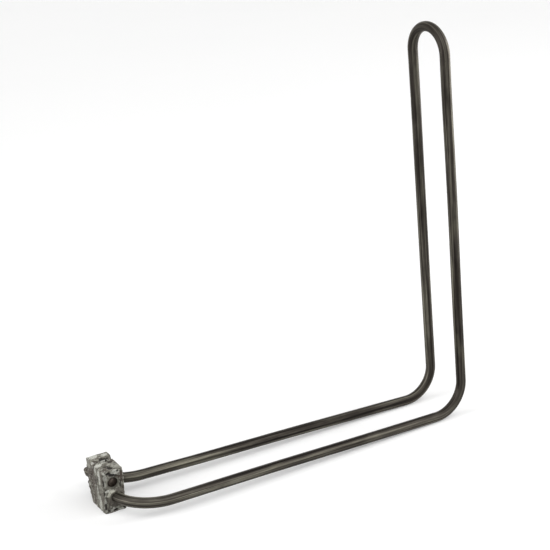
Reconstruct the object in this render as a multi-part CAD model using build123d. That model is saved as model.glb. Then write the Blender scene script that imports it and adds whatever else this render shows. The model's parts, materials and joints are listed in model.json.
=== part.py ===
"""Tubular heating element: one hairpin sheath bent to an L, with a cast fixing head at its near end.

Millimetres, +Z up. The origin is the middle of the head's bottom face. +X runs from the head to the
upright legs, +Y from the near tube to the far tube. The head's foot and both lower bends touch Z = 0.
"""
from build123d import *
from math import cos, degrees, radians, sin, sqrt, tan
import os

# ---- sheath: the outer tube, one length bent cold -------------------------------------------------
SHEATH_D = 8.0            # outside diameter
SHEATH_WALL = 0.8
RUN_LENGTH = 298.8        # between the corners of the tails and of the legs, along X
RUN_FALL = 1.65           # degrees that the runs fall from the head to the legs
LEG_HEIGHT = 296.0        # from the lower corner to the centre of the top bend
LEG_LEAN = 2.15           # degrees that the legs lean back towards the head
LEG_SPACING = 41.2        # between the centre lines of the two legs
TAIL_SPACING = 49.2       # between the two run lines at the corners of the tails
RUN_MIDDLE_Y = -14.7      # plane halfway between the two tubes
LOWER_BEND_R = 25.4
TAIL_BEND_R = 32.5
TAIL_TURN = 80.0          # degrees that each tail turns from the run towards +Y
TAIL_CORNER_X = 6.0       # where the run lines meet the tail lines
FAR_TAIL_STRAIGHT = 1.2   # straight end of the far tail, past its bend
NEAR_TAIL_PROUD = 2.5     # how far the near tail stands out of the back of the head

# ---- in the two mouths of the sheath -----------------------------------------------------------------
# The resistance wire and the oxide round it are sealed in for good, so between its two end bores
# the sheath is one solid with what fills it.
END_BORE_DEPTH = 6.0
PIN_D = 2.5               # cold pins, which carry the current in to the resistance wire
TERMINAL_D = 4.0          # threaded terminal welded on the end of each pin
TERMINAL_LENGTH = 4.0
TERMINAL_CHAMFER = 0.4
SEAL_DEPTH = 2.4          # plug that keeps damp out of the oxide
BUSH_D = 7.0
BUSH_THICKNESS = 1.2

# ---- head: a cast stack clamped by one stud -----------------------------------------------------------
HEAD_WIDTH = 17.0         # along X
HEAD_HEIGHT = 34.0
FACE_THICKNESS = 9.5      # front casting
JOINT_THICKNESS = 1.0     # filler between the front and middle castings
CORE_THICKNESS = 9.5      # middle casting
BACK_THICKNESS = 8.5      # rear casting
BACK_RISE = 1.3           # the rear casting stands higher than the rest
FOOT_SETBACK = 4.5        # how far the rear casting is cut back at its foot
FOOT_HEIGHT = 17.0        # height of that slope
EDGE_R = 1.4              # worn upright edges
TOP_GROOVE = 2.2          # bevel along the tops of the middle and rear castings

# ---- stud and its hardware --------------------------------------------------------------------------
STUD_D = 8.0
STUD_Z = 23.5
STUD_RECESS = 2.2         # its front end lies below the face
STUD_PROUD = 3.3          # thread past the nut
STUD_CHAMFER = 0.8
STUD_CLEARANCE = 0.2      # around the stud in the castings, on the radius
COLLAR_D = 10.0
COLLAR_LENGTH = 6.0
COLLAR_RECESS = 1.0
NUT_FLATS = 13.0
NUT_THICKNESS = 4.0
NUT_CHAMFER = 0.5
WASHER_D = 13.0
WASHER_THICKNESS = 1.2

# ---- filler metal where the near tail passes through the head -----------------------------------------
ENTRY_BASE_R = 7.9
ENTRY_TOP_R = 5.4
ENTRY_HEIGHT = 1.2
EXIT_BASE_R = 5.6
EXIT_TOP_R = 4.7
EXIT_HEIGHT = 1.6         # past the back of the head

# ---- worked out from the values above ---------------------------------------------------------------
SHEATH_R = SHEATH_D / 2
BORE_D = SHEATH_D - 2 * SHEATH_WALL
fall = radians(RUN_FALL)
lean = radians(LEG_LEAN)
lower_turn = radians(90 + RUN_FALL + LEG_LEAN)
lower_tangent = LOWER_BEND_R * tan(lower_turn / 2)
# the lowest point of the lower bends is on Z = 0
corner_z = SHEATH_R - lower_tangent * sin(fall) + LOWER_BEND_R * (1 - cos(fall))
tail_z = corner_z + RUN_LENGTH * tan(fall)
corner_x = TAIL_CORNER_X + RUN_LENGTH
near_run_y = RUN_MIDDLE_Y - TAIL_SPACING / 2
far_run_y = RUN_MIDDLE_Y + TAIL_SPACING / 2
near_leg_y = RUN_MIDDLE_Y - LEG_SPACING / 2
far_leg_y = RUN_MIDDLE_Y + LEG_SPACING / 2

foot_depth = FACE_THICKNESS + JOINT_THICKNESS + CORE_THICKNESS + BACK_THICKNESS - FOOT_SETBACK
front_y = -foot_depth / 2
joint_y = front_y + FACE_THICKNESS
core_y = joint_y + JOINT_THICKNESS
back_y = core_y + CORE_THICKNESS
rear_y = back_y + BACK_THICKNESS
# the slope of the foot, at the height of the near tail
slope_y = rear_y - FOOT_SETBACK * max(0.0, 1 - tail_z / FOOT_HEIGHT)


# the tails lean TAIL_TURN from the line of the runs
tail_way = Vector(-cos(radians(TAIL_TURN)), sin(radians(TAIL_TURN)), 0)
near_tail_corner = Vector(TAIL_CORNER_X, near_run_y, tail_z)
far_tail_corner = Vector(TAIL_CORNER_X, far_run_y, tail_z)


def on_near_tail(y):
    """Point of the near tail's centre line at the given Y."""
    return near_tail_corner + tail_way * ((y - near_run_y) / tail_way.Y)


near_end = on_near_tail(slope_y + NEAR_TAIL_PROUD)
far_end = far_tail_corner + tail_way * (TAIL_BEND_R * tan(radians(TAIL_TURN) / 2) + FAR_TAIL_STRAIGHT)


# ---- the bent centre line ---------------------------------------------------------------------------
def rounded(corners, radii):
    """Edges of a polyline whose corners are rounded by tangent arcs, in order."""
    edges = []
    start = corners[0]
    for before, corner, after, radius in zip(corners, corners[1:], corners[2:], radii):
        arriving = (corner - before).normalized()
        leaving = (after - corner).normalized()
        turn = radians(arriving.get_angle(leaving))
        tangent = radius * tan(turn / 2)
        arc_start = corner - arriving * tangent
        arc_end = corner + leaving * tangent
        inward = (leaving - arriving).normalized()
        middle = corner + inward * radius * (1 / cos(turn / 2) - 1)
        if (arc_start - start).length > 1e-4:
            edges.append(Edge.make_line(start, arc_start))
        edges.append(Edge.make_three_point_arc(arc_start, middle, arc_end))
        start = arc_end
    edges.append(Edge.make_line(start, corners[-1]))
    return edges


leg = Vector(-sin(lean), 0, cos(lean)) * (LEG_HEIGHT + LEG_SPACING / 2)
near_lower_corner = Vector(corner_x, near_leg_y, corner_z)
far_lower_corner = Vector(corner_x, far_leg_y, corner_z)
centre_line = rounded(
    [near_end, near_tail_corner, near_lower_corner, near_lower_corner + leg,
     far_lower_corner + leg, far_lower_corner, far_tail_corner, far_end],
    [TAIL_BEND_R, LOWER_BEND_R, LEG_SPACING / 2, LEG_SPACING / 2, LOWER_BEND_R, TAIL_BEND_R])
near_tail_line = centre_line[:2]


def round_bar(edges, diameter):
    """Round bar along tangent lines and arcs."""
    lengths = []
    for edge in edges:
        section = Plane(edge @ 0, z_dir=edge % 0) * Circle(diameter / 2)
        if edge.geom_type == GeomType.LINE:
            lengths.append(extrude(section, edge.length))
        else:
            axis = Axis(edge.arc_center, (edge % 0).cross(edge % 1))
            lengths.append(revolve(section, axis, degrees(edge.length / edge.radius)))
    return lengths[0].fuse(*lengths[1:])


def bar(start, way, length, diameter):
    """Round bar from a point, along a direction."""
    return extrude(Plane(start, z_dir=way) * Circle(diameter / 2), length)


def along_y(x, z, y0, y1, diameter):
    """Round bar along +Y from y0 to y1."""
    return bar(Vector(x, y0, z), Vector(0, 1, 0), y1 - y0, diameter)


def cone_y(x, z, y0, y1, r0, r1):
    """Cone frustum along +Y, with radius r0 at y0 and r1 at y1."""
    plane = Plane((x, (y0 + y1) / 2, z), x_dir=(1, 0, 0), z_dir=(0, 1, 0))
    return plane * Cone(r0, r1, y1 - y0)


def save(name, shape):
    shape.label = name
    export_step(shape, f"parts/{name}.step")


os.makedirs("parts", exist_ok=True)

# ---- sheath and what closes its mouths -----------------------------------------------------------------
sheath = round_bar(centre_line, SHEATH_D)
for end, mouth in (("near", near_end), ("far", far_end)):
    bore_end = mouth - tail_way * END_BORE_DEPTH
    seal_start = mouth - tail_way * SEAL_DEPTH
    terminal_start = mouth + tail_way * BUSH_THICKNESS
    pin = bar(bore_end, tail_way, END_BORE_DEPTH + BUSH_THICKNESS, PIN_D)
    terminal = bar(terminal_start, tail_way, TERMINAL_LENGTH, TERMINAL_D)
    terminal = chamfer(terminal.edges().filter_by(GeomType.CIRCLE).sort_by(Axis.Y)[-1], TERMINAL_CHAMFER)

    sheath -= bar(bore_end, tail_way, END_BORE_DEPTH, BORE_D)
    save(f"cold_pin_{end}", pin)
    save(f"terminal_{end}", terminal)
    save(f"oxide_plug_{end}", bar(bore_end, tail_way, END_BORE_DEPTH - SEAL_DEPTH, BORE_D) - pin)
    save(f"end_seal_{end}", bar(seal_start, tail_way, SEAL_DEPTH, BORE_D) - pin)
    save(f"end_bush_{end}", bar(mouth, tail_way, BUSH_THICKNESS, BUSH_D) - pin)
save("sheath", sheath)

# ---- head -----------------------------------------------------------------------------------------------
def slab(y0, y1, height):
    """Upright block across the head's width, standing on Z = 0."""
    return Pos(0, (y0 + y1) / 2, height / 2) * Box(HEAD_WIDTH, y1 - y0, height)


def wear(block, y):
    """Round the two upright edges of a casting at the given Y."""
    uprights = block.edges().filter_by(Axis.Z).filter_by_position(Axis.Y, y - 0.01, y + 0.01)
    return fillet(uprights, EDGE_R)


def top_edge(block, y):
    """The edge along X at the top of a casting, at the given Y."""
    return block.edges().filter_by(Axis.X).group_by(Axis.Z)[-1].filter_by_position(Axis.Y, y - 0.01, y + 0.01)


tail_bore = round_bar(near_tail_line, SHEATH_D)
stud_hole = along_y(0, STUD_Z, front_y - 1, rear_y + 1, STUD_D + 2 * STUD_CLEARANCE)
collar_seat_y = front_y + COLLAR_RECESS + COLLAR_LENGTH
counterbore = along_y(0, STUD_Z, front_y - 1, collar_seat_y, COLLAR_D)

face_block = wear(slab(front_y, joint_y, HEAD_HEIGHT), front_y)
save("head_face", face_block - counterbore - stud_hole - tail_bore)

joint_block = slab(joint_y, core_y, HEAD_HEIGHT)
save("head_joint", joint_block - stud_hole - tail_bore)

core_block = slab(core_y, back_y, HEAD_HEIGHT)
core_block = chamfer(top_edge(core_block, back_y), TOP_GROOVE)
save("head_core", core_block - stud_hole - tail_bore)

back_height = HEAD_HEIGHT + BACK_RISE
back_outline = Plane.YZ * Polygon(
    (back_y, 0), (rear_y - FOOT_SETBACK, 0), (rear_y, FOOT_HEIGHT), (rear_y, back_height), (back_y, back_height),
    align=None)
back_block = extrude(back_outline, HEAD_WIDTH / 2, both=True)
back_block = chamfer(top_edge(back_block, back_y), TOP_GROOVE)
back_block = wear(back_block, rear_y)
save("head_back", back_block - stud_hole - tail_bore)

# ---- filler metal ------------------------------------------------------------------------------------------
face_width = HEAD_WIDTH - 2 * EDGE_R
entry_x = on_near_tail(front_y).X
entry_cone = cone_y(entry_x, tail_z, front_y - ENTRY_HEIGHT, front_y, ENTRY_TOP_R, ENTRY_BASE_R)
entry_limit = Pos(0, front_y - ENTRY_HEIGHT / 2, HEAD_HEIGHT / 2) * Box(face_width, ENTRY_HEIGHT, HEAD_HEIGHT)
stud_keep_out = along_y(0, STUD_Z, front_y - ENTRY_HEIGHT - 1, front_y + 1, COLLAR_D)
save("entry_filler", (entry_cone & entry_limit) - stud_keep_out - tail_bore)

exit_x = on_near_tail(slope_y).X
exit_cone = cone_y(exit_x, tail_z, slope_y - EXIT_BASE_R / 2, slope_y + EXIT_HEIGHT, EXIT_BASE_R, EXIT_TOP_R)
save("exit_filler", exit_cone - back_block - tail_bore)

# ---- stud, collar, washer, nut ---------------------------------------------------------------------------
washer_y = rear_y + WASHER_THICKNESS
nut_y = washer_y + NUT_THICKNESS
stud = along_y(0, STUD_Z, front_y + STUD_RECESS, nut_y + STUD_PROUD, STUD_D)
stud = chamfer(stud.edges().filter_by(GeomType.CIRCLE).sort_by(Axis.Y)[-1], STUD_CHAMFER)
save("stud", stud)

collar = along_y(0, STUD_Z, front_y + COLLAR_RECESS, collar_seat_y, COLLAR_D)
save("stud_collar", collar - along_y(0, STUD_Z, front_y, rear_y, STUD_D))

save("stud_washer", along_y(0, STUD_Z, rear_y, washer_y, WASHER_D) - along_y(0, STUD_Z, rear_y, nut_y, STUD_D))

nut_plane = Plane((0, washer_y, STUD_Z), x_dir=(0, 0, 1), z_dir=(0, 1, 0))
nut_corner_r = NUT_FLATS / sqrt(3)
nut = extrude(nut_plane * RegularPolygon(nut_corner_r, 6), NUT_THICKNESS)
nut_turning = cone_y(0, STUD_Z, washer_y, nut_y, nut_corner_r + NUT_THICKNESS, nut_corner_r - NUT_CHAMFER)
save("stud_nut", (nut & nut_turning) - along_y(0, STUD_Z, washer_y, nut_y, STUD_D))
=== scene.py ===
"""Looks of the tubular heating element: drawn steel sheath, encrusted cast head, stud and terminals.

Metres, in the frame of the CAD model: origin under the middle of the head, +X along the runs, +Z up.
"""

import bmesh
import bpy
import json
from math import cos, pi, radians, sin, tan
from mathutils import Matrix, Vector, noise

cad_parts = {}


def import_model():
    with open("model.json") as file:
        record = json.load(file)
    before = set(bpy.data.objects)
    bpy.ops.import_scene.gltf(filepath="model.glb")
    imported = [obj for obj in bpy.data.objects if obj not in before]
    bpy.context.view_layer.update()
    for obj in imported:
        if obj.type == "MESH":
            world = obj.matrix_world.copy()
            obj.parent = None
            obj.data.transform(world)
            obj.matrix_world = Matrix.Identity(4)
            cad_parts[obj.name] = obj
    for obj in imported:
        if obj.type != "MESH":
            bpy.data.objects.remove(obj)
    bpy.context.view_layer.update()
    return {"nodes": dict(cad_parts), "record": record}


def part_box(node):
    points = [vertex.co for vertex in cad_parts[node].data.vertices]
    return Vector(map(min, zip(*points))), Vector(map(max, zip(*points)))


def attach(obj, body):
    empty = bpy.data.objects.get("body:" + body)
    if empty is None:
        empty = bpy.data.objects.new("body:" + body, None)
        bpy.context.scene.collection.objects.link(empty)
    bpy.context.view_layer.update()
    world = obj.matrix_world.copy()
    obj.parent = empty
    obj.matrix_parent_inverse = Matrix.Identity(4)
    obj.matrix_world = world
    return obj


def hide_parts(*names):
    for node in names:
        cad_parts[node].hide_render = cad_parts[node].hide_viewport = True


MM = 0.001

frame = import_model()

# ---- camera ---------------------------------------------------------------------------------------------
CAMERA_PLACE = (-0.32823, -0.84628, 0.48770)
CAMERA_HEADING = 60.306      # degrees from +X towards +Y
CAMERA_PITCH = -19.295       # degrees above the horizon
CAMERA_ROLL = -3.638
CAMERA_LENS = 88.34
FRAME_WIDTH = 36.0           # the frame that the lens is given for

# ---- sheath, as the CAD model's driving dimensions --------------------------------------------------------
SHEATH_R = 4.0 * MM
SHEATH_WALL = 0.8 * MM
RUN_LENGTH = 298.8 * MM
RUN_FALL = radians(1.65)
LEG_HEIGHT = 296.0 * MM
LEG_LEAN = radians(2.15)
LEG_SPACING = 41.2 * MM
TAIL_SPACING = 49.2 * MM
RUN_MIDDLE_Y = -14.7 * MM
LOWER_BEND_R = 25.4 * MM
TAIL_BEND_R = 32.5 * MM
TAIL_TURN = radians(80.0)
TAIL_CORNER_X = 6.0 * MM
FAR_TAIL_STRAIGHT = 1.2 * MM
SEAL_DEPTH = 2.4 * MM
BUSH_HALF = 0.6 * MM         # half the thickness of the bush that closes each mouth

# ---- sheath, as its mesh and its wear -----------------------------------------------------------------
RING_POINTS = 56
STRAIGHT_STEP = 1.5 * MM
BEND_STEP = 0.8 * MM
SHORTEST_STRAIGHT = 0.05 * MM
BEND_REACH = 5               # samples each way over which a bend's flattening fades
BEND_FLATTENING = 0.022      # share of the radius lost across a bend
LINE_WOBBLE = 0.44 * MM      # how far the runs and legs stray from a true line
WOBBLES_PER_METRE = 9
SKIN_UNEVENNESS = 0.016 * MM
LIP = 0.25 * MM              # rounding of each open mouth
# metres from the near mouth, angle round the tube, depth in millimetres
DENTS = [(0.118, 0.6, 0.10), (0.212, 2.2, 0.08), (0.402, 1.1, 0.09), (0.555, 4.4, 0.10),
         (0.733, 0.2, 0.08), (0.905, 5.2, 0.10), (1.044, 2.9, 0.09), (1.190, 1.6, 0.08)]
DENT_HALF_LENGTH = 3.5 * MM
DENT_HALF_ANGLE = 0.5        # radians


# ---- small helpers ------------------------------------------------------------------------------------
def smooth(low, high, value):
    """0 below low, 1 above high, and an even slope between."""
    share = max(0.0, min(1.0, (value - low) / (high - low)))
    return share * share * (3 - 2 * share)


def fractal(point, scale, octaves=3):
    """Layered noise between about -1 and 1."""
    return noise.fractal(Vector(point) * scale, 1.0, 2.1, octaves)


def mesh_object(name, points, faces, material, shade_smooth=True):
    mesh = bpy.data.meshes.new(name)
    mesh.from_pydata(points, [], faces)
    mesh.validate()
    made = bpy.data.objects.new(name, mesh)
    bpy.context.scene.collection.objects.link(made)
    mesh.materials.append(material)
    mesh.polygons.foreach_set("use_smooth", [shade_smooth] * len(mesh.polygons))
    return made


def add_piece(made, slot, *nodes):
    """Put a finished piece on the root body in place of its CAD nodes."""
    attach(made, "root")
    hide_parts(*nodes)
    return made


# ---- material helpers ------------------------------------------------------------------------------------
class Nodes:
    """Builds one procedural material."""

    def __init__(self, name):
        self.material = bpy.data.materials.new(name)
        self.material.use_nodes = True
        self.tree = self.material.node_tree
        self.shader = self.tree.nodes["Principled BSDF"]

    def new(self, kind, **settings):
        node = self.tree.nodes.new(kind)
        for key, value in settings.items():
            setattr(node, key, value)
        return node

    def link(self, source, target):
        self.tree.links.new(source, target)

    def place(self, stretch=(1, 1, 1), attribute=None):
        """Object coordinates, or a stored vector attribute, stretched along each axis."""
        mapping = self.new("ShaderNodeMapping")
        mapping.inputs["Scale"].default_value = stretch
        if attribute:
            source = self.new("ShaderNodeAttribute", attribute_name=attribute).outputs["Vector"]
        else:
            source = self.new("ShaderNodeTexCoord").outputs["Object"]
        self.link(source, mapping.inputs["Vector"])
        return mapping.outputs["Vector"]

    def noise(self, where, scale, detail=4.0, roughness=0.55, distortion=0.0):
        node = self.new("ShaderNodeTexNoise")
        node.inputs["Scale"].default_value = scale
        node.inputs["Detail"].default_value = detail
        node.inputs["Roughness"].default_value = roughness
        node.inputs["Distortion"].default_value = distortion
        self.link(where, node.inputs["Vector"])
        return node.outputs["Fac"]

    def stored(self, name):
        """A value that the mesh stores at each point."""
        return self.new("ShaderNodeAttribute", attribute_name=name).outputs["Fac"]

    def ramp(self, value, *stops):
        """Colour ramp through (position, colour) stops; a number stands for a grey."""
        node = self.new("ShaderNodeValToRGB")
        band = node.color_ramp.elements
        while len(band) < len(stops):
            band.new(0.5)
        for element, (position, colour) in zip(band, stops):
            grey = isinstance(colour, (int, float))
            element.position = position
            element.color = (colour,) * 3 + (1,) if grey else (*colour, 1)
        self.link(value, node.inputs["Fac"])
        return node.outputs["Color"]

    def blend(self, share, first, second):
        """Second colour over the first by a share, which is a socket or a number."""
        node = self.new("ShaderNodeMix", data_type="RGBA")
        self.feed(share, node.inputs[0])
        self.feed(first, node.inputs[6])
        self.feed(second, node.inputs[7])
        return node.outputs[2]

    def feed(self, value, socket):
        if isinstance(value, bpy.types.NodeSocket):
            self.link(value, socket)
        elif isinstance(value, tuple):
            socket.default_value = (*value, 1)
        else:
            socket.default_value = value

    def sum(self, first, second, share=1.0):
        """First plus share times second."""
        node = self.new("ShaderNodeMath", operation="MULTIPLY_ADD")
        self.link(second, node.inputs[0])
        node.inputs[1].default_value = share
        self.link(first, node.inputs[2])
        return node.outputs[0]

    def half(self, value):
        """Half of a value, to bring a sum of noises back into a ramp's 0 to 1."""
        node = self.new("ShaderNodeMath", operation="MULTIPLY")
        self.link(value, node.inputs[0])
        node.inputs[1].default_value = 0.5
        return node.outputs[0]

    def bump(self, height, distance, strength=1.0):
        node = self.new("ShaderNodeBump")
        node.inputs["Strength"].default_value = strength
        node.inputs["Distance"].default_value = distance
        self.link(height, node.inputs["Height"])
        self.link(node.outputs["Normal"], self.shader.inputs["Normal"])

    def finish(self, colour, rough, metallic=0.0, specular=0.5):
        self.feed(colour, self.shader.inputs["Base Color"])
        self.feed(rough, self.shader.inputs["Roughness"])
        self.shader.inputs["Metallic"].default_value = metallic
        self.shader.inputs["Specular IOR Level"].default_value = specular
        return self.material


# ---- materials --------------------------------------------------------------------------------------------
def sheath_steel():
    """Oxidised drawn steel: dark scale with long drawing lines, rubbed bright in places."""
    m = Nodes("sheath_steel")
    streak = m.noise(m.place((340, 340, 6), "lengthwise"), 1.0, 4.0, 0.60, 0.2)
    drawn = m.noise(m.place((1100, 1100, 7), "lengthwise"), 1.0, 3.0, 0.55)
    patch = m.noise(m.place((80, 80, 22), "lengthwise"), 1.0, 4.0, 0.6, 0.5)
    speck = m.noise(m.place((1500, 1500, 500), "lengthwise"), 1.0, 3.0, 0.65)
    lines = m.sum(m.sum(streak, drawn, 0.45), patch, 0.34)
    colour = m.ramp(m.half(lines), (0.375, (0.010, 0.008, 0.007)), (0.430, (0.028, 0.024, 0.020)),
                    (0.470, (0.058, 0.052, 0.043)), (0.512, (0.115, 0.107, 0.086)),
                    (0.565, (0.24, 0.23, 0.18)))
    colour = m.blend(m.ramp(patch, (0.56, 0.0), (0.70, 0.30)), colour, (0.085, 0.080, 0.056))
    colour = m.blend(m.ramp(speck, (0.60, 0.0), (0.74, 0.5)), colour, (0.012, 0.010, 0.008))
    rough = m.ramp(m.sum(streak, drawn, 0.5), (0.50, 0.24), (0.95, 0.44))
    m.bump(m.sum(m.sum(drawn, streak, 0.9), speck, 0.3), 0.00012, 0.6)
    m.shader.inputs["Specular Tint"].default_value = (0.70, 0.67, 0.62, 1)
    return m.finish(colour, rough, 0.50, 0.20)


def crusted(name, pale, dirt, rough):
    """Cast or run light alloy under baked scale: grey-olive, with brown stains, pale bare places and pits;
    the stored values also carry painted shade in the sunk places, pits and along some edges, and on the beads
    a painted highlight.
    """
    m = Nodes(name)
    plain = m.place()
    upright = m.place((1, 1, 0.20))
    lump = m.noise(plain, 240, 5.0, 0.60, 0.6)
    streak = m.noise(upright, 380, 4.0, 0.58, 0.8)
    grain = m.noise(plain, 1900, 4.0, 0.7)
    cloud = m.ramp(lump, (0.34, (0.060, 0.053, 0.043)), (0.47, (0.135, 0.128, 0.107)),
                   (0.58, (0.235, 0.230, 0.190)), (0.72, (0.43, 0.43, 0.375)))
    streaked = m.ramp(streak, (0.38, (0.042, 0.035, 0.027)), (0.50, (0.145, 0.136, 0.112)),
                      (0.62, (0.32, 0.315, 0.26)))
    colour = m.blend(0.4, cloud, streaked)
    # brown stains, and brown painted shade along the front's rounded right edge, at the step on top and on
    # the beads away from their painted highlight
    colour = m.blend(m.stored("stain_and_shade"), colour, dirt)
    # on the beads this pale share is a painted highlight on their upper left
    colour = m.blend(m.stored("pale"), colour, m.ramp(grain, (0.34, [0.55 * c for c in pale]), (0.56, pale)))
    colour = m.blend(m.ramp(grain, (0.30, 0.55), (0.45, 0.0)), colour, (0.040, 0.034, 0.026))
    # painted shade: the sunk places and pits are darkened nearly to black
    colour = m.blend(m.stored("recess_shade"), colour, (0.013, 0.010, 0.008))
    m.bump(m.sum(m.sum(grain, lump, 0.8), streak, 0.7), 0.00035, 0.8)
    return m.finish(colour, m.ramp(lump, (0.30, rough - 0.12), (0.75, rough + 0.12)), 0.0, 0.35)


def rusted_steel():
    """Brown-oxidised hardware steel, turned and then left hot."""
    m = Nodes("rusted_steel")
    plain = m.place()
    patch = m.noise(plain, 330, 5.0, 0.6, 0.6)
    grain = m.noise(plain, 2600, 4.0, 0.7)
    colour = m.ramp(patch, (0.32, (0.018, 0.012, 0.009)), (0.50, (0.045, 0.033, 0.026)),
                    (0.68, (0.10, 0.080, 0.066)))
    colour = m.blend(m.ramp(grain, (0.55, 0.0), (0.72, 0.5)), colour, (0.080, 0.042, 0.022))
    m.bump(m.sum(grain, patch, 0.6), 0.00012, 0.7)
    return m.finish(colour, m.ramp(patch, (0.3, 0.62), (0.7, 0.42)), 0.65)


def terminal_steel():
    """Plated terminal, browned by heat."""
    m = Nodes("terminal_steel")
    plain = m.place()
    patch = m.noise(plain, 500, 4.0, 0.55, 0.4)
    grain = m.noise(plain, 3200, 3.0, 0.6)
    colour = m.ramp(patch, (0.34, (0.036, 0.030, 0.025)), (0.56, (0.085, 0.075, 0.062)),
                    (0.74, (0.17, 0.155, 0.13)))
    m.bump(grain, 0.00006, 0.5)
    return m.finish(colour, m.ramp(patch, (0.3, 0.58), (0.7, 0.40)), 0.7)


def magnesia():
    m = Nodes("magnesia")
    powder = m.noise(m.place(), 2400, 5.0, 0.7)
    colour = m.ramp(powder, (0.3, (0.60, 0.585, 0.55)), (0.7, (0.82, 0.81, 0.78)))
    m.bump(powder, 0.00010, 0.6)
    return m.finish(colour, m.ramp(powder, (0.3, 0.95), (0.7, 0.82)), 0.0, 0.2)


def seal_silicone():
    m = Nodes("seal_silicone")
    cloud = m.noise(m.place(), 600, 3.0, 0.5)
    colour = m.ramp(cloud, (0.3, (0.25, 0.065, 0.045)), (0.7, (0.36, 0.11, 0.075)))
    m.bump(cloud, 0.00005, 0.4)
    return m.finish(colour, m.ramp(cloud, (0.3, 0.5), (0.7, 0.38)), 0.0, 0.4)


def bush_ceramic():
    m = Nodes("bush_ceramic")
    plain = m.place()
    cloud = m.noise(plain, 380, 4.0, 0.55)
    dirt = m.noise(plain, 1300, 4.0, 0.65)
    colour = m.ramp(cloud, (0.3, (0.060, 0.052, 0.043)), (0.7, (0.115, 0.104, 0.088)))
    colour = m.blend(m.ramp(dirt, (0.56, 0.0), (0.72, 0.6)), colour, (0.028, 0.023, 0.018))
    m.bump(dirt, 0.00006, 0.4)
    return m.finish(colour, m.ramp(cloud, (0.3, 0.55), (0.7, 0.42)), 0.0, 0.45)


MATERIALS = {
    "sheath_steel": sheath_steel(),
    "head_casting": crusted("casting_scale", (0.56, 0.56, 0.505), (0.060, 0.047, 0.037), 0.72),
    "head_filler": crusted("filler_scale", (0.50, 0.49, 0.415), (0.050, 0.040, 0.030), 0.60),
    "hardware_steel": rusted_steel(),
    "pin_steel": terminal_steel(),
    "magnesia": magnesia(),
    "seal_silicone": seal_silicone(),
    "bush_ceramic": bush_ceramic(),
}


# a node that looks like another slot's material: the collar is caked with the casting's scale
LOOK_OF = {"stud_collar": "head_casting"}


def dress_cad_nodes():
    """Give every CAD node that stays its slot's procedural material."""
    slots = {part["node"]: part["material_slot"] for part in frame["record"]["subparts"]}
    for name, node in frame["nodes"].items():
        node.data.materials.clear()
        node.data.materials.append(MATERIALS[LOOK_OF.get(name, slots[name])])


# ---- sheath -----------------------------------------------------------------------------------------------
def sheath_corners():
    """Corners of the centre line and the bend radius at each, from the near mouth to the far one."""
    turn = pi / 2 + RUN_FALL + LEG_LEAN
    corner_z = SHEATH_R - LOWER_BEND_R * tan(turn / 2) * sin(RUN_FALL) + LOWER_BEND_R * (1 - cos(RUN_FALL))
    tail_z = corner_z + RUN_LENGTH * tan(RUN_FALL)
    corner_x = TAIL_CORNER_X + RUN_LENGTH
    near_run_y = RUN_MIDDLE_Y - TAIL_SPACING / 2
    far_run_y = RUN_MIDDLE_Y + TAIL_SPACING / 2
    way = Vector((-cos(TAIL_TURN), sin(TAIL_TURN), 0))
    near_tail = Vector((TAIL_CORNER_X, near_run_y, tail_z))
    far_tail = Vector((TAIL_CORNER_X, far_run_y, tail_z))
    bush_low, bush_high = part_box("end_bush_near")
    mouth = (bush_low + bush_high) / 2 - way * BUSH_HALF
    far_end = far_tail + way * (TAIL_BEND_R * tan(TAIL_TURN / 2) + FAR_TAIL_STRAIGHT)
    leg = Vector((-sin(LEG_LEAN), 0, cos(LEG_LEAN))) * (LEG_HEIGHT + LEG_SPACING / 2)
    near_lower = Vector((corner_x, RUN_MIDDLE_Y - LEG_SPACING / 2, corner_z))
    far_lower = Vector((corner_x, RUN_MIDDLE_Y + LEG_SPACING / 2, corner_z))
    corners = [mouth, near_tail, near_lower, near_lower + leg, far_lower + leg, far_lower, far_tail, far_end]
    radii = [TAIL_BEND_R, LOWER_BEND_R, LEG_SPACING / 2, LEG_SPACING / 2, LOWER_BEND_R, TAIL_BEND_R]
    return corners, radii


def centre_line():
    """Samples (point, direction, inward, bend) along the line; bend is 1 in an arc and 0 in a straight."""
    corners, radii = sheath_corners()
    samples = []
    start = corners[0]

    def straight(first, last):
        length = (last - first).length
        count = max(1, round(length / STRAIGHT_STEP))
        way = (last - first).normalized()
        for i in range(count):
            samples.append((first.lerp(last, i / count), way, None, 0.0))

    for before, corner, after, radius in zip(corners, corners[1:], corners[2:], radii):
        arriving = (corner - before).normalized()
        leaving = (after - corner).normalized()
        turn = arriving.angle(leaving)
        tangent = radius * tan(turn / 2)
        arc_start = corner - arriving * tangent
        inward = (leaving - arriving * arriving.dot(leaving)).normalized()
        if (arc_start - start).length > SHORTEST_STRAIGHT:
            straight(start, arc_start)
        centre = arc_start + inward * radius
        count = round(radius * turn / BEND_STEP)
        for i in range(count):
            angle = turn * i / count
            spoke = arriving * sin(angle) - inward * cos(angle)
            way = arriving * cos(angle) + inward * sin(angle)
            samples.append((centre + spoke * radius, way, -spoke, 1.0))
        start = corner + leaving * tangent
    straight(start, corners[-1])
    samples.append((corners[-1], samples[-1][1], None, 0.0))
    return samples


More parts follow.
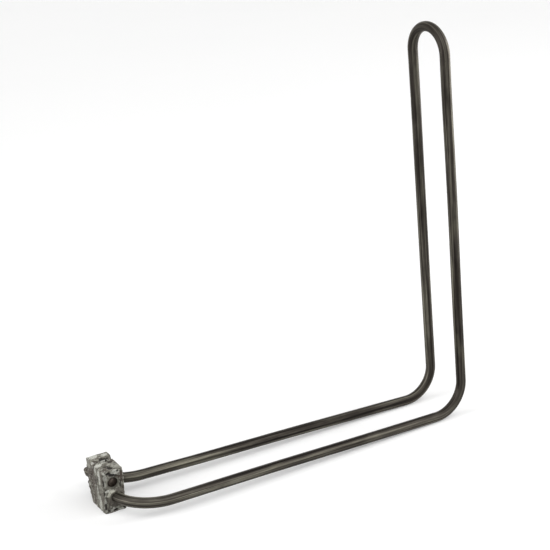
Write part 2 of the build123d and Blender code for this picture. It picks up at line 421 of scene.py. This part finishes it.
def sheath():
    """One drawn tube with flattened bends, faint hand wobble, shallow dents and open mouths."""
    samples = centre_line()
    travelled = [0.0]
    for (here, *_), (there, *_) in zip(samples, samples[1:]):
        travelled.append(travelled[-1] + (there - here).length)
    total = travelled[-1]
    sharp = [bent for *_, bent in samples]
    nearby = [sharp[max(0, i - BEND_REACH):i + BEND_REACH + 1] for i in range(len(sharp))]
    bend = [sum(values) / len(values) for values in nearby]

    points = []
    grain = []
    side = Vector((0, 0, 1))
    inward = side
    bore_r = SHEATH_R - SHEATH_WALL

    def ring(centre, way, radius_at, along):
        nonlocal side
        side = (side - way * side.dot(way)).normalized()
        other = way.cross(side)
        for k in range(RING_POINTS):
            angle = 2 * pi * k / RING_POINTS
            spoke = side * cos(angle) + other * sin(angle)
            point = centre + spoke * radius_at(angle, spoke)
            point.z = max(point.z, 0.0)
            points.append(point)
            grain.append((cos(angle) * SHEATH_R, sin(angle) * SHEATH_R, along))

    def mouth(centre, way, along, outward):
        """Rings of one open end, from the outer lip in to the seal, or back out again."""
        floor_depth = SEAL_DEPTH + 0.3 * MM
        steps = [(LIP, SHEATH_R), (0.25 * LIP, SHEATH_R - 0.3 * LIP), (0.0, SHEATH_R - LIP),
                 (0.0, bore_r + LIP), (0.25 * LIP, bore_r + 0.3 * LIP), (LIP, bore_r),
                 (floor_depth, bore_r), (floor_depth, 0.4 * MM)]
        for back, radius in (reversed(steps) if outward else steps):
            inside = back if outward else -back
            ring(centre + way * inside, way, lambda angle, spoke: radius, along)

    first, last = samples[0], samples[-1]
    mouth(first[0], first[1], 0.0, True)
    for i, (centre, way, turned_in, _) in enumerate(samples):
        along = travelled[i]
        if along < LIP * 1.5 or along > total - LIP * 1.5:
            continue
        if turned_in is not None:
            inward = turned_in
        free = smooth(0.05, 0.10, along) * smooth(0.05, 0.10, total - along)
        drift = along * WOBBLES_PER_METRE
        stray = Vector((noise.noise(Vector((drift, 0.3, 5.1))), noise.noise(Vector((drift, 7.7, 1.9))),
                        noise.noise(Vector((drift, 3.1, 8.2)))))
        stray -= way * stray.dot(way)
        centre = centre + stray * LINE_WOBBLE * free

        def radius_at(angle, spoke):
            across = spoke.dot(inward - way * inward.dot(way))
            flat = 1 - BEND_FLATTENING * bend[i] * (2 * across * across - 1)
            radius = SHEATH_R * flat
            radius += SKIN_UNEVENNESS * fractal((cos(angle) * 2, sin(angle) * 2, along * 150), 1.0, 3)
            for place, turn, deep in DENTS:
                off = (along - place) / DENT_HALF_LENGTH
                if abs(off) < 2.5:
                    apart = abs((angle - turn + pi) % (2 * pi) - pi) / DENT_HALF_ANGLE
                    radius -= deep * MM * pow(2.718, -(off * off + apart * apart))
            return radius

        ring(centre, way, radius_at, along)
    mouth(last[0], last[1], total, False)

    faces = []
    rings = len(points) // RING_POINTS
    for j in range(rings - 1):
        for k in range(RING_POINTS):
            a = j * RING_POINTS + k
            b = j * RING_POINTS + (k + 1) % RING_POINTS
            faces.append((a, b, b + RING_POINTS, a + RING_POINTS))
    faces.append(tuple(range(RING_POINTS))[::-1])
    faces.append(tuple(range((rings - 1) * RING_POINTS, rings * RING_POINTS)))
    made = mesh_object("sheath_tube", points, faces, MATERIALS["sheath_steel"])
    stored = made.data.attributes.new("lengthwise", "FLOAT_VECTOR", "POINT")
    stored.data.foreach_set("vector", [value for triple in grain for value in triple])
    return add_piece(made, "sheath_steel", "sheath")


# ---- threads ----------------------------------------------------------------------------------------------
STUD_THREAD = (4.0 * MM, 1.25 * MM, 0.55 * MM)         # radius, pitch, depth
TERMINAL_THREAD = (2.0 * MM, 0.70 * MM, 0.32 * MM)
STUD_PLAIN = 20 * MM         # length from the front end that has no thread
TERMINAL_PLAIN = 0.4 * MM
TERMINAL_LENGTH = 4.0 * MM
THREAD_NOSE = 1.1            # radius lost at the nose, in thread depths
THREAD_SHARPNESS = 0.8       # below 1 narrows the crests
THREAD_POINTS = 40
THREAD_ROWS = 8              # rings to a turn


def threaded(node, name, way, length, size, plain, slot):
    """A stud with a rolled thread past its plain length, where the CAD one is."""
    radius, pitch, deep = size
    low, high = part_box(node)
    start = (low + high) / 2 - way * length / 2
    side = Vector((0, 0, 1))
    other = way.cross(side)
    step = pitch / THREAD_ROWS
    rows = [i * step for i in range(int(length / step))] + [length]
    points = [start]
    for along in rows:
        cut = smooth(plain, plain + pitch / 2, along)
        core = radius - THREAD_NOSE * deep
        nose = core + (length - along)
        for k in range(THREAD_POINTS):
            turn = k / THREAD_POINTS
            groove = 0.5 - 0.5 * cos(2 * pi * (along / pitch - turn))
            reach = min(radius - deep * cut * groove ** THREAD_SHARPNESS, max(nose, core))
            spoke = side * cos(2 * pi * turn) + other * sin(2 * pi * turn)
            points.append(start + way * along + spoke * reach)
    points.append(start + way * length)
    faces = []
    last = len(points) - 1
    for k in range(THREAD_POINTS):
        after = (k + 1) % THREAD_POINTS
        faces.append((0, 1 + after, 1 + k))
        for j in range(len(rows) - 1):
            a, b = 1 + j * THREAD_POINTS + k, 1 + j * THREAD_POINTS + after
            faces.append((a, b, b + THREAD_POINTS, a + THREAD_POINTS))
        faces.append((last, last - THREAD_POINTS + k, last - THREAD_POINTS + after))
    return add_piece(mesh_object(name, points, faces, MATERIALS[slot]), slot, node)


def threads():
    low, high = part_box("stud")
    threaded("stud", "threaded_stud", Vector((0, 1, 0)), high.y - low.y, STUD_THREAD, STUD_PLAIN,
             "hardware_steel")
    way = Vector((-cos(TAIL_TURN), sin(TAIL_TURN), 0))
    for end in ("near", "far"):
        threaded("terminal_" + end, "threaded_terminal_" + end, way, TERMINAL_LENGTH, TERMINAL_THREAD,
                 TERMINAL_PLAIN, "pin_steel")


# ---- castings ---------------------------------------------------------------------------------------------
def remeshed(node, name, voxel, smoothing):
    """A fine even mesh of a CAD node, with its edges eased."""
    source = frame["nodes"][node]
    made = bpy.data.objects.new(name, source.data.copy())
    bpy.context.scene.collection.objects.link(made)
    made.data.materials.clear()
    weld = bmesh.new()
    weld.from_mesh(made.data)
    bmesh.ops.remove_doubles(weld, verts=weld.verts, dist=0.002 * MM)
    weld.to_mesh(made.data)
    weld.free()
    fine = made.modifiers.new("even", "REMESH")
    fine.mode = "VOXEL"
    fine.voxel_size = voxel
    ease = made.modifiers.new("ease", "SMOOTH")
    ease.factor = 0.5
    ease.iterations = smoothing
    bpy.context.view_layer.update()
    graph = bpy.context.evaluated_depsgraph_get()
    mesh = bpy.data.meshes.new_from_object(made.evaluated_get(graph))
    made.modifiers.clear()
    made.data = mesh
    mesh.name = name
    mesh.polygons.foreach_set("use_smooth", [True] * len(mesh.polygons))
    return made


def crust(made, material, shape):
    """Move each point by shape(point, normal) -> (offset, depth, stain, pale), and store the last three."""
    mesh = made.data
    mesh.materials.append(material)
    moved = []
    tones = []
    for vertex in mesh.vertices:
        offset, *tone = shape(vertex.co, vertex.normal)
        place = vertex.co + vertex.normal * offset
        place.z = max(place.z, 0.0)
        moved.append(place)
        tones.append(tone)
    for vertex, place in zip(mesh.vertices, moved):
        vertex.co = place
    for label, values in zip(("recess_shade", "stain_and_shade", "pale"), zip(*tones)):
        stored = mesh.attributes.new(label, "FLOAT", "POINT")
        stored.data.foreach_set("value", values)
    mesh.update()
    return made


# ragged places on three faces of the head: middle across and up, half sizes and how far sunk, all in
# millimetres, then tone and strength. The dark places are sunk, and their tone is painted shade in the
# hollows;
# some brown places are painted shade too, as marked, and the rest are stains.
# Across and up are X and Y on the top, X and Z on the front, Y and Z on the left flank.
TOP_PLACES = [
    (-4.4, 13.8, 3.4, 1.9, -0.15, "pale", 0.95), (4.9, 12.6, 1.9, 1.9, -0.10, "pale", 0.80),
    (1.8, 7.0, 4.2, 2.0, 1.60, "dark", 0.90), (4.4, 2.2, 1.6, 2.0, 0.90, "dark", 0.75),
    # the brown place at (-5.1, 7.4) is painted shade in the step between the back cap and the core
    (-5.1, 7.4, 3.0, 1.7, 0.60, "brown", 0.95), (-5.1, 0.8, 2.6, 2.0, -0.15, "pale", 0.90),
    (-1.6, -3.0, 2.2, 1.8, 1.10, "dark", 0.85), (0.4, -7.2, 1.8, 2.4, 0.90, "dark", 0.85),
    (-0.8, 2.9, 2.2, 0.6, -0.20, "pale", 0.80), (-5.6, -8.8, 2.6, 2.4, 0.25, "brown", 0.70),
    (5.0, -5.5, 2.4, 3.8, 0.00, "pale", 0.22), (7.0, 4.5, 1.0, 3.0, 0.20, "brown", 0.60),
    (-7.6, 3.6, 0.8, 2.0, 0.20, "brown", 0.70), (-2.2, 11.0, 1.6, 1.0, 0.20, "brown", 0.55),
]
FRONT_PLACES = [
    (-6.9, 33.1, 1.0, 1.0, -0.10, "pale", 0.95), (-5.9, 29.4, 1.5, 2.4, 0.00, "pale", 0.40),
    (-3.6, 31.8, 1.6, 0.9, 0.90, "dark", 0.95), (-1.2, 30.1, 1.8, 0.9, 0.90, "dark", 0.95),
    (1.4, 28.9, 1.6, 0.9, 0.70, "dark", 0.90), (2.0, 31.9, 2.8, 2.0, -0.20, "pale", 0.90),
    (4.0, 32.4, 0.7, 0.8, 1.00, "dark", 0.95), (3.4, 27.4, 1.8, 1.4, 0.40, "brown", 0.95),
    (-4.2, 18.1, 2.6, 0.9, -0.20, "pale", 1.00), (1.6, 19.4, 1.2, 1.1, 0.00, "pale", 0.50),
    (-6.6, 25.6, 0.8, 3.4, 0.00, "pale", 0.35), (-7.9, 24.9, 0.6, 2.4, 0.80, "dark", 0.90),
    (-8.1, 16.6, 0.6, 2.0, 0.80, "dark", 0.85), (-7.6, 6.1, 0.9, 2.3, 1.00, "dark", 0.90),
    (-5.4, 12.0, 1.0, 1.7, 1.20, "dark", 0.90), (6.8, 2.4, 0.8, 1.3, 1.00, "dark", 0.90),
    (0.0, 1.6, 1.5, 0.8, 1.00, "dark", 0.95), (4.6, 0.9, 1.7, 0.8, 0.00, "pale", 0.80),
    (-7.4, 10.4, 0.7, 2.2, 0.00, "pale", 0.50), (-2.6, 3.2, 2.4, 0.9, -0.10, "pale", 0.60),
    # these two brown bands are painted shade along the front face's rounded right edge
    (6.9, 27.0, 1.1, 4.2, 0.15, "brown", 0.90), (7.1, 15.0, 1.1, 5.0, 0.15, "brown", 0.95),
    (-5.6, 2.2, 1.0, 1.0, 0.50, "dark", 0.70), (3.6, 5.6, 1.6, 1.0, 0.60, "dark", 0.75),
    (-3.4, 7.0, 0.9, 0.8, 0.70, "dark", 0.80), (5.2, 22.5, 0.7, 2.6, 0.35, "dark", 0.70),
]
LEFT_PLACES = [
    (0.7, 31.2, 1.3, 2.8, 0.00, "pale", 0.70), (-6.2, 28.6, 1.7, 5.0, -0.15, "pale", 0.85),
    (-1.5, 16.5, 0.9, 2.8, -0.10, "pale", 0.90), (-0.8, 10.6, 1.0, 2.2, 0.00, "pale", 0.60),
    (-4.3, 6.4, 2.2, 4.6, 0.00, "pale", 0.65), (7.1, 21.4, 2.8, 7.0, 0.15, "brown", 0.85),
    (1.1, 21.6, 1.8, 5.0, 0.15, "brown", 0.70), (5.9, 28.8, 2.2, 2.6, 0.30, "brown", 0.95),
    (10.4, 24.4, 2.6, 4.6, 0.20, "brown", 0.95), (12.3, 31.4, 2.6, 2.6, 0.00, "pale", 0.22),
    (-9.4, 14.0, 1.4, 6.0, 0.15, "brown", 0.55), (4.6, 8.4, 2.2, 5.0, 0.10, "brown", 0.60),
    (13.4, 12.6, 1.6, 4.4, 0.00, "pale", 0.20), (9.4, 6.4, 1.6, 3.0, 0.10, "brown", 0.50),
]


def oval(u, v, half_u, half_v, ragged):
    """1 inside a ragged oval, 0 outside it."""
    return 1 - smooth(0.95, 1.35, ((u / half_u) ** 2 + (v / half_v) ** 2) ** 0.5 + ragged)


def casting_shape(point, normal):
    """Lumps, upright flow streaks on the flanks, and the ragged places of the castings."""
    x, y, z = point / MM
    ragged = 0.30 * fractal(point, 420, 2)
    lump = fractal(point, 170, 3)
    crumb = fractal(point, 620, 3)
    flow = fractal((x * 0.55, y * 0.55, z * 0.09), 1.0, 3)
    offset = 0.34 * lump + 0.16 * crumb
    # the dark tone is painted shade: it darkens the pits, and below, the sunk dark places
    tones = {"dark": 0.70 * smooth(0.36, 0.62, -crumb + 0.25 * flow),
             "brown": 0.60 * smooth(0.0, 0.45, 0.6 * lump - 0.5 * flow - 0.1),
             "pale": 0.50 * smooth(0.22, 0.60, crumb + 0.5 * flow)}
    flank = smooth(0.55, 0.85, abs(normal.x))
    if flank > 0:
        offset += flank * 0.30 * flow
        behind = smooth(-2.0, 9.0, y)
        tones["brown"] = max(tones["brown"], flank * behind * smooth(-0.2, 0.35, flow) * 0.75)
    for facing, across, up, places in ((normal.z, x, y, TOP_PLACES), (-normal.y, x, z, FRONT_PLACES),
                                       (-normal.x, y, z, LEFT_PLACES)):
        share = smooth(0.45, 0.80, facing)
        if share > 0:
            for mid_u, mid_v, half_u, half_v, sunk, tone, strength in places:
                inside = oval(across - mid_u, up - mid_v, half_u, half_v, ragged) * share
                if inside > 0:
                    offset -= sunk * inside
                    tones[tone] = max(tones[tone], min(1.0, 1.2 * strength * inside))
                    if tone != "brown":
                        tones["brown"] *= 1 - inside
    return offset * MM, tones["dark"], tones["brown"], tones["pale"] * (1 - tones["dark"])


CASTING_VOXEL = 0.36 * MM
CASTING_EASING = 4           # passes that round the edges
FILLER_VOXEL = 0.22 * MM
FILLER_EASING = 3


def castings():
    for node in ("head_face", "head_joint", "head_core", "head_back"):
        made = remeshed(node, node.replace("head", "casting"), CASTING_VOXEL, CASTING_EASING)
        add_piece(crust(made, MATERIALS["head_casting"], casting_shape), "head_casting", node)


ENTRY_X = sum(corner.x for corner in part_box("entry_filler")) / 2
TAIL_Z = 12.0 * MM           # about the height of the near tail's centre line


def filler_shape(point, normal):
    """Lumpy bead with a painted highlight on its upper left and darker brown everywhere else."""
    lump = fractal(point, 300, 3)
    crumb = fractal(point, 800, 2)
    spoke = Vector((point.x - ENTRY_X, 0, point.z - TAIL_Z))
    upper_left = Vector((-0.60, 0, 0.80))
    # painted highlight: the upper left of the bead is made pale and the rest darker brown
    painted_highlight = smooth(0.72, 0.93, spoke.normalized().dot(upper_left) + 0.15 * crumb)
    painted_highlight *= smooth(4.6, 5.2, spoke.length / MM)
    # the second value darkens the bead's pits with painted shade
    return (0.30 * lump + 0.12 * crumb) * MM, 0.7 * smooth(0.30, 0.60, -crumb), 0.6 * (1 - painted_highlight), painted_highlight


def fillers():
    for node, name in (("entry_filler", "entry_bead"), ("exit_filler", "exit_bead")):
        made = remeshed(node, name, FILLER_VOXEL, FILLER_EASING)
        add_piece(crust(made, MATERIALS["head_filler"], filler_shape), "head_filler", node)


# ---- setting ----------------------------------------------------------------------------------------------
def camera():
    lens = bpy.data.cameras.new("camera")
    lens.lens = CAMERA_LENS
    lens.sensor_width = FRAME_WIDTH
    lens.clip_start = 0.01
    made = bpy.data.objects.new("camera", lens)
    bpy.context.scene.collection.objects.link(made)
    turn = (Matrix.Rotation(radians(CAMERA_HEADING - 90), 4, "Z")
            @ Matrix.Rotation(radians(90 + CAMERA_PITCH), 4, "X")
            @ Matrix.Rotation(radians(CAMERA_ROLL), 4, "Z"))
    made.matrix_world = Matrix.Translation(CAMERA_PLACE) @ turn
    bpy.context.scene.camera = made


FLOOR_HALF = 6.0             # metres
FLOOR_GLOW = 0.20            # share of pure white that the camera and glossy rays see in the floor
FLOOR_BOUNCE = 0.22          # grey of the floor as it lights the part from below


def floor():
    corners = [(-FLOOR_HALF, -FLOOR_HALF, 0), (FLOOR_HALF, -FLOOR_HALF, 0),
               (FLOOR_HALF, FLOOR_HALF, 0), (-FLOOR_HALF, FLOOR_HALF, 0)]
    m = Nodes("floor_paper")
    mottle = m.noise(m.place(), 3.0, 3.0)
    colour = m.ramp(mottle, (0.3, (0.925, 0.925, 0.922)), (0.7, (0.935, 0.935, 0.932)))
    m.finish(colour, 0.9, 0.0, 0.1)
    glow = m.new("ShaderNodeEmission")
    glow.inputs["Strength"].default_value = 1.0
    paths = m.new("ShaderNodeLightPath")
    seen = m.new("ShaderNodeMath", operation="MAXIMUM")
    m.link(paths.outputs["Is Camera Ray"], seen.inputs[0])
    m.link(paths.outputs["Is Glossy Ray"], seen.inputs[1])
    share = m.new("ShaderNodeMath", operation="MULTIPLY")
    share.inputs[1].default_value = FLOOR_GLOW
    m.link(seen.outputs[0], share.inputs[0])
    mix = m.new("ShaderNodeMixShader")
    m.link(share.outputs[0], mix.inputs[0])
    m.link(m.shader.outputs[0], mix.inputs[1])
    m.link(glow.outputs[0], mix.inputs[2])
    bounce = m.new("ShaderNodeBsdfDiffuse")
    bounce.inputs["Color"].default_value = (FLOOR_BOUNCE, FLOOR_BOUNCE, FLOOR_BOUNCE, 1)
    lit = m.new("ShaderNodeMixShader")
    m.link(paths.outputs["Is Diffuse Ray"], lit.inputs[0])
    m.link(mix.outputs[0], lit.inputs[1])
    m.link(bounce.outputs[0], lit.inputs[2])
    m.link(lit.outputs[0], m.tree.nodes["Material Output"].inputs["Surface"])
    made = mesh_object("floor", corners, [(0, 1, 2, 3)], m.material, False)


def soft_light(name, place, target, width, height, power):
    """Upright panel near the part; sizes in metres, power in watts."""
    lamp = bpy.data.lights.new(name, "AREA")
    lamp.shape = "RECTANGLE"
    lamp.size = width
    lamp.size_y = height
    lamp.energy = power
    made = bpy.data.objects.new(name, lamp)
    bpy.context.scene.collection.objects.link(made)
    made.location = place
    made.rotation_euler = (Vector(target) - Vector(place)).to_track_quat("-Z", "Y").to_euler()


def sky_panel(name, heading, height, spread, strength):
    """Wide soft light from far off; heading and height in degrees are where it stands."""
    lamp = bpy.data.lights.new(name, "SUN")
    lamp.energy = strength
    lamp.angle = radians(spread)
    made = bpy.data.objects.new(name, lamp)
    bpy.context.scene.collection.objects.link(made)
    around, above = radians(heading), radians(height)
    towards = Vector((cos(around) * cos(above), sin(around) * cos(above), sin(above)))
    made.rotation_euler = towards.to_track_quat("Z", "Y").to_euler()


WORLD_LIGHT = 0.45           # strength of the world as a lamp


def world():
    """White to the eye and in reflections, and a dimmer soft light on everything."""
    made = bpy.data.worlds.new("studio")
    bpy.context.scene.world = made
    made.use_nodes = True
    tree = made.node_tree
    back = tree.nodes["Background"]
    back.inputs["Color"].default_value = (1, 1, 1, 1)
    paths = tree.nodes.new("ShaderNodeLightPath")
    seen = None
    for kind in ("Is Camera Ray", "Is Glossy Ray", "Is Transmission Ray"):
        if seen is None:
            seen = paths.outputs[kind]
            continue
        either = tree.nodes.new("ShaderNodeMath")
        either.operation = "MAXIMUM"
        tree.links.new(seen, either.inputs[0])
        tree.links.new(paths.outputs[kind], either.inputs[1])
        seen = either.outputs[0]
    strength = tree.nodes.new("ShaderNodeMapRange")
    strength.inputs["To Min"].default_value = WORLD_LIGHT
    strength.inputs["To Max"].default_value = 1.0
    tree.links.new(seen, strength.inputs["Value"])
    tree.links.new(strength.outputs["Result"], back.inputs["Strength"])


def lights():
    """Two wide skies from the left and the right front, and a panel at each side of the legs."""
    sky_panel("key", 200, 50, 70, 1.10)
    sky_panel("right_panel", 292, 48, 70, 1.05)
    middle_of_legs = (0.30, 0, 0.15)
    soft_light("left", (-1.5, 0.1, 0.4), middle_of_legs, 0.5, 1.2, 13)
    soft_light("right", (1.8, -0.5, 0.4), middle_of_legs, 0.35, 1.2, 24)


bpy.context.scene.view_settings.view_transform = "Standard"
dress_cad_nodes()
sheath()
threads()
castings()
fillers()
camera()
floor()
world()
lights()
